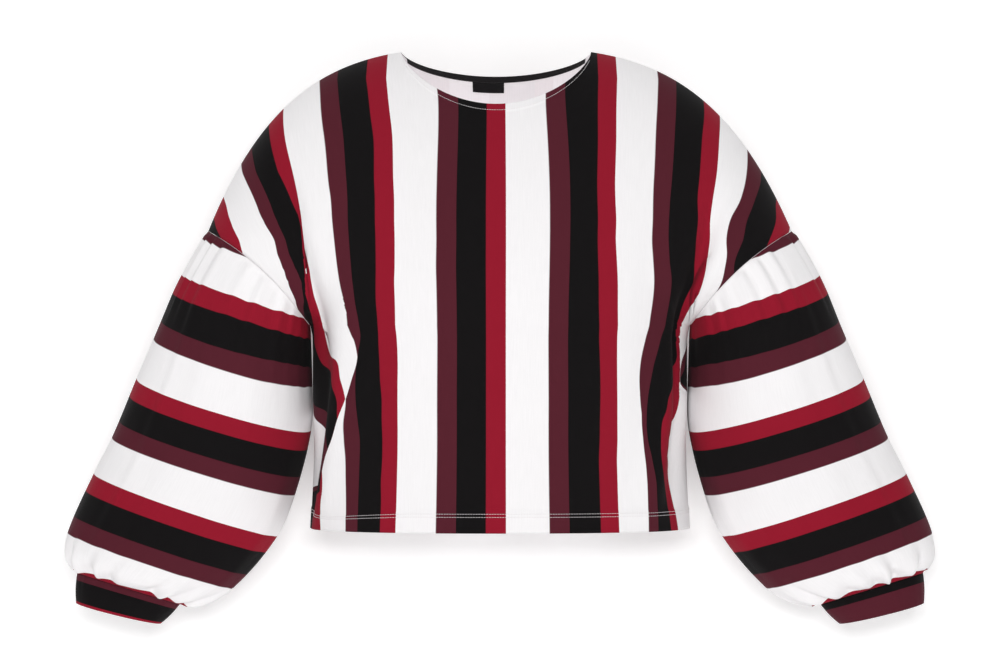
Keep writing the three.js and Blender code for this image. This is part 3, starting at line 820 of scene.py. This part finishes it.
front_grid, front_cloth, front_along = make_panel("front")
back_grid, back_cloth, back_along = make_panel("back")
front_panel = cloth_piece(
    "front_body", front_grid, front_cloth, front_along, cloth_thickness, jerseys["front"])
back_panel = cloth_piece(
    "back_body", back_grid, back_cloth, back_along, cloth_thickness, jerseys["back"], flip=True)

# %% [markdown]
# ## The sleeves
# A balloon sleeve is a tube that swells and then closes into the cuff. A table gives its rings as they are
# seen from the front, and the first rings are blended into the armhole. The gathers are waves that start
# at a seam, stand highest close to it and fade along the cloth. Real gathers are uneven, so the waves
# change their spacing and height round the arm.

# %% Rings of the sleeve, by the length along the cloth from the first crimson stripe
ring_sizes = ("along", "out_x", "out_z", "in_x", "in_z", "half_depth", "back", "sag")
sleeve_rings = [dict(zip(ring_sizes, row)) for row in [
    (-0.052, 0.308, -0.190, 0.201, -0.240, 0.063, 0.000, 0.002),
    (0.000, 0.335, -0.235, 0.200, -0.282, 0.067, 0.001, 0.007),
    (0.070, 0.364, -0.300, 0.1975, -0.352, 0.070, 0.008, 0.009),
    (0.113, 0.382, -0.341, 0.1985, -0.396, 0.071, 0.012, 0.009),
    (0.183, 0.408, -0.403, 0.215, -0.463, 0.072, 0.014, 0.006),
    (0.227, 0.427, -0.441, 0.233, -0.507, 0.072, 0.013, 0.003),
    (0.297, 0.454, -0.503, 0.279, -0.562, 0.066, 0.007, 0.000),
    (0.325, 0.456, -0.528, 0.308, -0.577, 0.057, 0.003, -0.002),
    (0.349, 0.444, -0.547, 0.3365, -0.580, 0.035, 0.000, -0.003),
]]
sleeve_end = sleeve_rings[-1]["along"]
sleeve_power = 2.15
sleeve_start_tip = -0.049
sleeve_start_underarm = 0.006
sleeve_cap_curve = 3
sleeve_blend = 0.070


# %% A ring seen from the front between its outer and its inner edge
def ring_points(side, ring, turn):
    power = 2 / sleeve_power
    chord = np.sign(np.cos(turn)) * np.abs(np.cos(turn)) ** power
    reach = np.sign(np.sin(turn)) * np.abs(np.sin(turn)) ** power
    x = mix(ring["in_x"], ring["out_x"], (1 + chord) / 2)
    z = mix(ring["in_z"], ring["out_z"], (1 + chord) / 2) - ring["sag"] * reach
    return np.stack([side * x, ring["back"] - ring["half_depth"] * reach, z], axis=-1)


def sleeve_start(turn):
    return mix(sleeve_start_tip, sleeve_start_underarm, ((1 - np.cos(turn)) / 2) ** sleeve_cap_curve)


# %% Gathers: uneven waves that fade away from their seam
armhole_gathers = {"count": 20, "height": 0.0016, "rise": 0.007, "fade": 0.120}
cuff_gathers = {"count": 14, "height": 0.0036, "rise": 0.011, "fade": 0.062}
body_side_calm = 0.8
calm_turn = (0.3, 0.9)
calm_length = (0.200, 0.120)
spacing_waves = [(0.09, 3, 1), (0.05, 7, -2)]
height_waves = [(0.35, 5, 1), (0.2, 11, 3)]
double_wave = 0.25
double_phase = 2.1


def add_waves(base, waves, turn, phase):
    """Each wave is its size, how often it goes round and how much of the phase it takes."""
    return sum((size * np.sin(times * turn + share * phase) for size, times, share in waves), base)


def uneven_wave(count, turn, phase):
    warped = add_waves(turn, spacing_waves, turn, phase)
    height = add_waves(1, height_waves, turn, phase)
    double = double_wave * np.sin(2 * count * warped + double_phase * phase)
    return height * (np.sin(count * warped + phase) + double)


def gather_lift(gathers, distance, turn, phase):
    near = ease(0, gathers["rise"], distance)
    far = 1 - ease(gathers["rise"], gathers["fade"], distance)
    return gathers["height"] * near * far * uneven_wave(gathers["count"], turn, phase)


# %% Work out a sleeve
ring_columns = 216
sleeve_rows = 124
row_crowding = 0.6
cloth_round_sleeve = 0.62
long_ripple = {"count": 12, "height": 0.0006, "from_seam": 0.08, "from_cuff": 0.09}
armhole_stripe_shift = 0.0006
cuff_stripe_shift = 0.0022
white_start = -0.0437
maroon_strip = {-1: 0.0105, 1: 0.0120}
strip_curve = 1.7
strip_blend = (0.045, 0.110)


def make_sleeve(side):
    turn = np.linspace(0, 2 * math.pi, ring_columns + 1)
    steps = np.linspace(0, 1, sleeve_rows + 1)
    station = mix(steps, 0.5 - 0.5 * np.cos(math.pi * steps), row_crowding)
    start = sleeve_start(turn)
    along = mix(start, sleeve_end, station[:, None])
    rings = smooth_rows(sleeve_rings, "along", along)
    points = ring_points(side, rings, turn)
    facing_front = np.where(np.sin(turn) >= 0, -1, 1)
    seam = armhole_points(side, facing_front, np.arccos(np.cos(turn)))
    seam_step = np.array([side * (armhole_tip - underarm)[1], 0, -(armhole_tip - underarm)[0]])
    seam = seam + seam_step / np.linalg.norm(seam_step) * armhole_gap
    share = 1 - ease(0, 1, (along - start) / sleeve_blend)
    points = mix(points, seam, share[:, :, None])
    ring = points[:, :-1]
    outward = grid_outward(ring, around=True) * -side
    from_seam, from_cuff = lengths_down(points), sleeve_end - along
    calm = 1 - body_side_calm * ease(*calm_turn, -np.cos(turn)) * ease(*calm_length, from_seam)
    armhole_wave = gather_lift(armhole_gathers, from_seam, turn, side)
    cuff_wave = gather_lift(cuff_gathers, from_cuff, turn, 2 * side)
    middle = ease(0, long_ripple["from_seam"], from_seam) * ease(0, long_ripple["from_cuff"], from_cuff)
    ripple = long_ripple["height"] * middle * uneven_wave(long_ripple["count"], turn, 3 * side)
    lift = (calm * (armhole_wave + cuff_wave + ripple))[:, :-1]
    share = ((1 - np.cos(turn)) / 2) ** strip_curve
    first_place = mix(white_start - maroon_strip[side], sleeve_start_underarm, share)
    places = mix(first_place + from_seam, along, ease(*strip_blend, from_seam))
    places = places + armhole_stripe_shift * armhole_wave / armhole_gathers["height"]
    places = places + cuff_stripe_shift * cuff_wave / cuff_gathers["height"]
    cloth = np.tile(turn / (2 * math.pi) * cloth_round_sleeve, (sleeve_rows + 1, 1))
    return ring + outward * lift[:, :, None], cloth, places


sleeves = {}
for word, side in (("right", -1), ("left", 1)):
    grid, cloth, along = make_sleeve(side)
    sleeves[word] = cloth_piece(
        f"balloon_sleeve_{word}", grid, cloth, along, cloth_thickness, jerseys["sleeve"],
        around=True, flip=side > 0)

# %% [markdown]
# ## The cuffs
# Each cuff is a narrow doubled band that closes the sleeve. It is a short tube that bulges a little in the
# middle, with slight puckers at the seam.
# The band is cut from the same jersey, so a piece of the stripe repeat runs round it.

# %% Cuff materials: bands of yarn, each with how far down the cuff it starts
def banded_jersey(name, bands):
    material, tree, shader = new_material(name, jersey_roughness, jersey_sheen)
    across, along = cloth_places(tree)
    ramp = tree.nodes.new("ShaderNodeValToRGB")
    stops = ramp.color_ramp
    stops.interpolation = "CONSTANT"
    stops.elements[0].color = bands[0][1]
    stops.elements[1].position, stops.elements[1].color = bands[1][0] / cuff_depth, bands[1][1]
    for place, yarn in bands[2:]:
        stops.elements.new(place / cuff_depth).color = yarn
    tree.links.new(math_node(tree, "DIVIDE", along, cuff_depth), ramp.inputs[0])
    finish_jersey(tree, shader, ramp.outputs[0], across, along)
    return material


cuff_depth = 0.031
cuff_bands = {
    "right": [(0, maroon_yarn), (0.0068, black_yarn), (0.0282, crimson_yarn)],
    "left": [(0, black_yarn), (0.0088, maroon_yarn)],
}

# %% Work out a cuff
cuff_low = {"out_x": 0.445, "out_z": -0.578, "in_x": 0.356, "in_z": -0.600,
            "half_depth": 0.034, "back": 0.0, "sag": 0.0}
cuff_thickness = 0.0024
cuff_rows = 18
cuff_bulge = 0.0010
cuff_puckers = {"count": 11, "phase": 1.3, "share": 0.25}
cloth_round_cuff = 0.26


def make_cuff(side):
    turn = np.linspace(0, 2 * math.pi, ring_columns + 1)
    down = np.linspace(0, 1, cuff_rows + 1)[:, None]
    top = {name: sleeve_rings[-1][name] for name in cuff_low}
    points = mix(ring_points(side, top, turn), ring_points(side, cuff_low, turn), down[:, :, None])
    points = points[:, :-1]
    outward = grid_outward(points, around=True) * -side
    puckers = uneven_wave(cuff_puckers["count"], turn, cuff_puckers["phase"] * side)[:-1] * (1 - down)
    lift = cuff_bulge * (np.sin(math.pi * down) + cuff_puckers["share"] * puckers)
    cloth = np.tile(turn / (2 * math.pi) * cloth_round_cuff, (cuff_rows + 1, 1))
    along = np.tile(down * cuff_depth, (1, ring_columns + 1))
    return points + outward * lift[:, :, None], cloth, along


cuffs = {}
for word, side in (("right", -1), ("left", 1)):
    grid, cloth, along = make_cuff(side)
    material = banded_jersey(f"jersey_cuff_{word}", cuff_bands[word])
    cuffs[word] = cloth_piece(
        f"cuff_band_{word}", grid, cloth, along, cuff_thickness, [material], around=True, flip=side > 0)

# %% [markdown]
# ## The back neck tape and the label
# Inside the back of the neck a narrow black tape covers the seam, and a small bare label is sewn under it.
# Both lie on the inside of the back panel, so they are made from the panel's own points, moved inwards.

# %% A strip laid inside the back panel
def laid_inside(from_edge, first, last, columns, rows, depth):
    """Points inside the back, between two distances from the neck edge and two places across."""
    lengths = lengths_down(back_grid)
    outward = grid_outward(back_grid) * -facing["back"]
    across = panel_across * tip_across
    asked = np.linspace(first, last, columns)
    grid = np.zeros((rows, columns, 3))
    for row, distance in enumerate(np.linspace(*from_edge, rows)):
        line = np.zeros((len(across), 3))
        for column in range(len(across)):
            length = lengths[:, column]
            for axis in range(3):
                line[column, axis] = np.interp(distance, length, back_grid[:, column, axis])
                if distance < 0:
                    first_step = back_grid[1, column, axis] - back_grid[0, column, axis]
                    line[column, axis] += distance * first_step / length[1]
                line[column, axis] -= depth * np.interp(distance, length, outward[:, column, axis])
        for axis in range(3):
            grid[row, :, axis] = np.interp(asked, across, line[:, axis])
    return grid


# %% Materials of the tape and the label, each with a fine relief of yarns
twill_spacing = 0.0011
satin_spacing = 0.0006


def yarn_waves(tree, place, spacing):
    return math_node(tree, "SINE", math_node(tree, "MULTIPLY", place, 2 * math.pi / spacing))


tape_material, tape_tree, tape_shader = new_material("black_twill_tape", roughness=0.75, sheen=0.1)
tape_across, tape_along = cloth_places(tape_tree)
tape_shader.inputs["Base Color"].default_value = colour(24, 22, 23)
twill = yarn_waves(tape_tree, math_node(tape_tree, "ADD", tape_across, tape_along), twill_spacing)
add_bump(tape_tree, tape_shader, twill, distance=0.0002, strength=0.5)

label_material, label_tree, label_shader = new_material("black_satin_label", roughness=0.45, sheen=0.0)
_, label_along = cloth_places(label_tree)
label_shader.inputs["Base Color"].default_value = colour(20, 19, 20)
satin = yarn_waves(label_tree, label_along, satin_spacing)
add_bump(label_tree, label_shader, satin, distance=0.0001, strength=0.4)

# %% Tape and label
tape_top = -0.0019
tape_width = 0.0062
tape_thickness = 0.0008
label_thickness = 0.0007
label_middle = -0.013
label_width = 0.035
label_depth = 0.013
label_below_tape = 0.0004
tape_reach = 0.95 * neck_across
tape_columns, tape_rows = 121, 9
label_columns, label_rows = 31, 17


def laid_piece(name, grid, thickness, material):
    width = np.linspace(0, np.linalg.norm(np.diff(grid[0], axis=0), axis=1).sum(), grid.shape[1])
    cloth = np.tile(width, (grid.shape[0], 1))
    return cloth_piece(name, grid, cloth, lengths_down(grid), thickness, [material])


tape_grid = laid_inside(
    (tape_top, tape_width), neck_offset - tape_reach, neck_offset + tape_reach, tape_columns, tape_rows,
    cloth_thickness + seam_gap + tape_thickness)
label_grid = laid_inside(
    (tape_width + label_below_tape, tape_width + label_depth), label_middle - label_width / 2,
    label_middle + label_width / 2, label_columns, label_rows, cloth_thickness + seam_gap + label_thickness)
neck_tape = laid_piece("neck_tape", tape_grid, tape_thickness, tape_material)
label = laid_piece("bare_label", label_grid, label_thickness, label_material)

# %% [markdown]
# ## Topstitching
# A row of stitches is the same small arch of thread again and again along a path, so Geometry Nodes make
# it: the path is cut into equal steps, a thread is placed on each step, and the copies are made real.
# The path carries the direction out of the cloth, which keeps every thread lying on the surface.

# %% The node tree of a stitch row
def stitch_tree(material):
    tree = bpy.data.node_groups.new("stitch row", "GeometryNodeTree")
    tree.interface.new_socket("Geometry", in_out="INPUT", socket_type="NodeSocketGeometry")
    sizes = {"Spacing": 0.0027, "Stitch Length": 0.0019, "Thread Radius": 0.00022}
    for title, value in sizes.items():
        socket = tree.interface.new_socket(title, in_out="INPUT", socket_type="NodeSocketFloat")
        socket.default_value = value
    tree.interface.new_socket("Geometry", in_out="OUTPUT", socket_type="NodeSocketGeometry")
    node = {name: tree.nodes.new(kind) for name, kind in {
        "in": "NodeGroupInput", "out": "NodeGroupOutput",
        "curve": "GeometryNodeMeshToCurve", "steps": "GeometryNodeResampleCurve",
        "outward": "GeometryNodeInputNamedAttribute", "tangent": "GeometryNodeInputTangent",
        "turn": "FunctionNodeAxesToRotation", "arch": "GeometryNodeCurveQuadraticBezier",
        "start": "ShaderNodeCombineXYZ", "middle": "ShaderNodeCombineXYZ", "end": "ShaderNodeCombineXYZ",
        "ring": "GeometryNodeCurvePrimitiveCircle", "thread": "GeometryNodeCurveToMesh",
        "copies": "GeometryNodeInstanceOnPoints", "real": "GeometryNodeRealizeInstances",
        "material": "GeometryNodeSetMaterial"}.items()}
    link = tree.links.new
    link(node["in"].outputs["Geometry"], node["curve"].inputs["Mesh"])
    node["steps"].mode = "LENGTH"
    link(node["curve"].outputs[0], node["steps"].inputs["Curve"])
    link(node["in"].outputs["Spacing"], node["steps"].inputs["Length"])
    node["outward"].data_type = "FLOAT_VECTOR"
    node["outward"].inputs["Name"].default_value = "outward"
    node["turn"].primary_axis, node["turn"].secondary_axis = "Z", "X"
    link(node["outward"].outputs["Attribute"], node["turn"].inputs[0])
    link(node["tangent"].outputs[0], node["turn"].inputs[1])
    arch_points = [
        ("start", "Stitch Length", -0.5, 0),
        ("middle", "Thread Radius", 2.0, 2),
        ("end", "Stitch Length", 0.5, 0),
    ]
    for name, size, factor, axis in arch_points:
        link(math_node(tree, "MULTIPLY", node["in"].outputs[size], factor), node[name].inputs[axis])
    node["arch"].inputs["Resolution"].default_value = 4
    for name in ("Start", "Middle", "End"):
        link(node[name.lower()].outputs[0], node["arch"].inputs[name])
    node["ring"].inputs["Resolution"].default_value = 6
    link(node["in"].outputs["Thread Radius"], node["ring"].inputs["Radius"])
    link(node["arch"].outputs[0], node["thread"].inputs["Curve"])
    link(node["ring"].outputs[0], node["thread"].inputs["Profile Curve"])
    node["thread"].inputs["Fill Caps"].default_value = True
    link(node["steps"].outputs[0], node["copies"].inputs["Points"])
    link(node["thread"].outputs[0], node["copies"].inputs["Instance"])
    link(node["turn"].outputs[0], node["copies"].inputs["Rotation"])
    link(node["copies"].outputs[0], node["real"].inputs[0])
    link(node["real"].outputs[0], node["material"].inputs["Geometry"])
    node["material"].inputs["Material"].default_value = material
    link(node["material"].outputs[0], node["out"].inputs[0])
    return tree


# %% Thread material and the tree itself
thread_grain = 900
thread_material, thread_tree, thread_shader = new_material("white_thread", roughness=0.6, sheen=0.2)
thread_noise = thread_tree.nodes.new("ShaderNodeTexNoise")
thread_place = thread_tree.nodes.new("ShaderNodeTexCoord")
thread_noise.inputs["Scale"].default_value = thread_grain
thread_tree.links.new(thread_place.outputs["Object"], thread_noise.inputs["Vector"])
thread_ramp = thread_tree.nodes.new("ShaderNodeValToRGB")
thread_ramp.color_ramp.elements[0].color = colour(222, 214, 217)
thread_ramp.color_ramp.elements[1].color = colour(246, 244, 245)
thread_tree.links.new(thread_noise.outputs["Fac"], thread_ramp.inputs[0])
thread_tree.links.new(thread_ramp.outputs[0], thread_shader.inputs["Base Color"])
row_tree = stitch_tree(thread_material)
print("stitch tree nodes:", len(row_tree.nodes))


# %% Sew a row along a path
def sew_row(name, path, outward, **sizes):
    mesh = bpy.data.meshes.new(name)
    mesh.from_pydata([tuple(point) for point in path], [(i, i + 1) for i in range(len(path) - 1)], [])
    mesh.attributes.new("outward", "FLOAT_VECTOR", "POINT").data.foreach_set("vector", outward.reshape(-1))
    row = bpy.data.objects.new(name + "_path", mesh)
    bpy.context.scene.collection.objects.link(row)
    sewing = row.modifiers.new("stitches", "NODES")
    sewing.node_group = row_tree
    sockets = {item.name: item.identifier for item in row_tree.interface.items_tree if item.in_out == "INPUT"}
    for title, value in sizes.items():
        sewing[sockets[title.replace("_", " ")]] = value
    evaluated = row.evaluated_get(bpy.context.evaluated_depsgraph_get())
    sewn = bpy.data.meshes.new_from_object(evaluated)
    row.modifiers.clear()
    piece = bpy.data.objects.new(name, sewn)
    bpy.context.scene.collection.objects.link(piece)
    bpy.data.objects.remove(row)
    sewn.shade_smooth()
    print(name, "faces:", len(sewn.polygons))
    return piece


# %% Paths on a panel at a distance from its neck edge or its hem
stitch_lift = 0.0001


def line_on_panel(points, panel, distance, from_hem, columns):
    down = lengths_down(points)
    outward = grid_outward(points) * -facing[panel]
    line, out = [], []
    for column in columns:
        asked = down[-1, column] - distance if from_hem else distance
        line.append([np.interp(asked, down[:, column], points[:, column, axis]) for axis in range(3)])
        out.append([np.interp(asked, down[:, column], outward[:, column, axis]) for axis in range(3)])
    line, out = np.array(line), np.array(out)
    out /= np.linalg.norm(out, axis=1, keepdims=True)
    return line + out * stitch_lift, out


stitch_rows = []
hem_rows = (0.0165, 0.0197)
neck_row = 0.0075
neck_row_end = 0.985
all_columns = range(1, len(panel_across) - 1)
neck_places = [c for c in all_columns if neck_share(panel_across[c] * tip_across) < neck_row_end]
for panel, grid in (("front", front_grid), ("back", back_grid)):
    for number, distance in enumerate(hem_rows, 1):
        path, out = line_on_panel(grid, panel, distance, True, all_columns)
        stitch_rows.append(sew_row(f"hem_stitches_{panel}_{number}", path, out))
    path, out = line_on_panel(grid, panel, neck_row, False, neck_places)
    stitch_rows.append(sew_row(f"neck_stitches_{panel}", path, out, Spacing=0.0025, Stitch_Length=0.0016))

# %% [markdown]
# ## Attach every piece
# Each piece rides on the one body of the frame, stands for the solid that it covers, and takes its finish
# from a material slot.

# %% Pieces, solids and slots
jersey_pieces = {
    "front_panel": front_panel, "back_panel": back_panel,
    "sleeve_right": sleeves["right"], "sleeve_left": sleeves["left"],
}
cuff_pieces = {"cuff_right": cuffs["right"], "cuff_left": cuffs["left"]}
for node, piece in {**jersey_pieces, **cuff_pieces, "back_neck_tape": neck_tape, "neck_label": label}.items():
    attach(piece, "root")
    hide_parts(node)
for piece in stitch_rows:
    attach(piece, "root")
print("pieces of cloth:", len(jersey_pieces) + len(cuff_pieces), "rows of stitches:", len(stitch_rows))

# %% [markdown]
# ## Floor and light
# The photograph has a white ground with a faint shadow close under the hem and the cuffs, as from a wall
# right behind the top. So a pale floor curves up into a wall just behind the back panel. Seen from its
# back the wall is clear, so that the top can be looked at from behind too. A bright surround, a lamp
# just above the camera and a large lamp overhead give the even light of a studio.

# %% Floor and wall in one sheet
wall_place = 0.135
floor_height = -0.80
floor_bend = 0.12
floor_half_width = 4.0
wall_top = 2.5
floor_front = -6.0
bend_steps = 12
bend_turn = np.linspace(0, math.pi / 2, bend_steps + 1)
profile = [(floor_front, floor_height)]
profile += [(wall_place - floor_bend * (1 - math.sin(turn)), floor_height + floor_bend * (1 - math.cos(turn)))
            for turn in bend_turn]
profile += [(wall_place, wall_top)]
floor_points = np.array([[(x, y, z) for x in (-floor_half_width, floor_half_width)] for y, z in profile])
floor_mesh = cloth_mesh("floor", floor_points, floor_points[:, :, 0], floor_points[:, :, 1], flip=True)
floor = bpy.data.objects.new("floor", floor_mesh)
bpy.context.scene.collection.objects.link(floor)

# %% Floor material: matt white in front, clear from behind
floor_glow = 0.21
floor_material, floor_tree, floor_shader = new_material("pale_floor", roughness=0.95, sheen=0.0)
floor_shader.inputs["Base Color"].default_value = (0.95, 0.95, 0.95, 1)
floor_shader.inputs["Emission Color"].default_value = (1, 1, 1, 1)
floor_shader.inputs["Emission Strength"].default_value = floor_glow
side_seen = floor_tree.nodes.new("ShaderNodeNewGeometry")
clear = floor_tree.nodes.new("ShaderNodeBsdfTransparent")
either = floor_tree.nodes.new("ShaderNodeMixShader")
floor_tree.links.new(side_seen.outputs["Backfacing"], either.inputs[0])
floor_tree.links.new(floor_shader.outputs[0], either.inputs[1])
floor_tree.links.new(clear.outputs[0], either.inputs[2])
floor_tree.links.new(either.outputs[0], floor_tree.nodes["Material Output"].inputs["Surface"])
floor.data.materials.append(floor_material)


# %% Soft lamps
def soft_lamp(name, place, aim_at, size, power):
    data = bpy.data.lights.new(name, "AREA")
    data.shape = "RECTANGLE"
    data.size, data.size_y = size
    data.energy = power
    lamp = bpy.data.objects.new(name, data)
    lamp.location = place
    lamp.rotation_euler = (Vector(aim_at) - Vector(place)).to_track_quat("-Z", "Y").to_euler()
    bpy.context.scene.collection.objects.link(lamp)


surround_strength = 0.32
soft_lamp("lamp_beside_camera", (0.0, -3.7, 0.04), aim_at=(0, 0, -0.35), size=(0.9, 0.4), power=50)
soft_lamp("lamp_above", (-0.3, -1.8, 1.9), aim_at=(0, 0, -0.3), size=(2.0, 1.5), power=13)
world = bpy.data.worlds.new("surround")
world.use_nodes = True
world.node_tree.nodes["Background"].inputs["Color"].default_value = (1, 1, 1, 1)
world.node_tree.nodes["Background"].inputs["Strength"].default_value = surround_strength
bpy.context.scene.world = world
bpy.context.scene.view_settings.view_transform = "Standard"
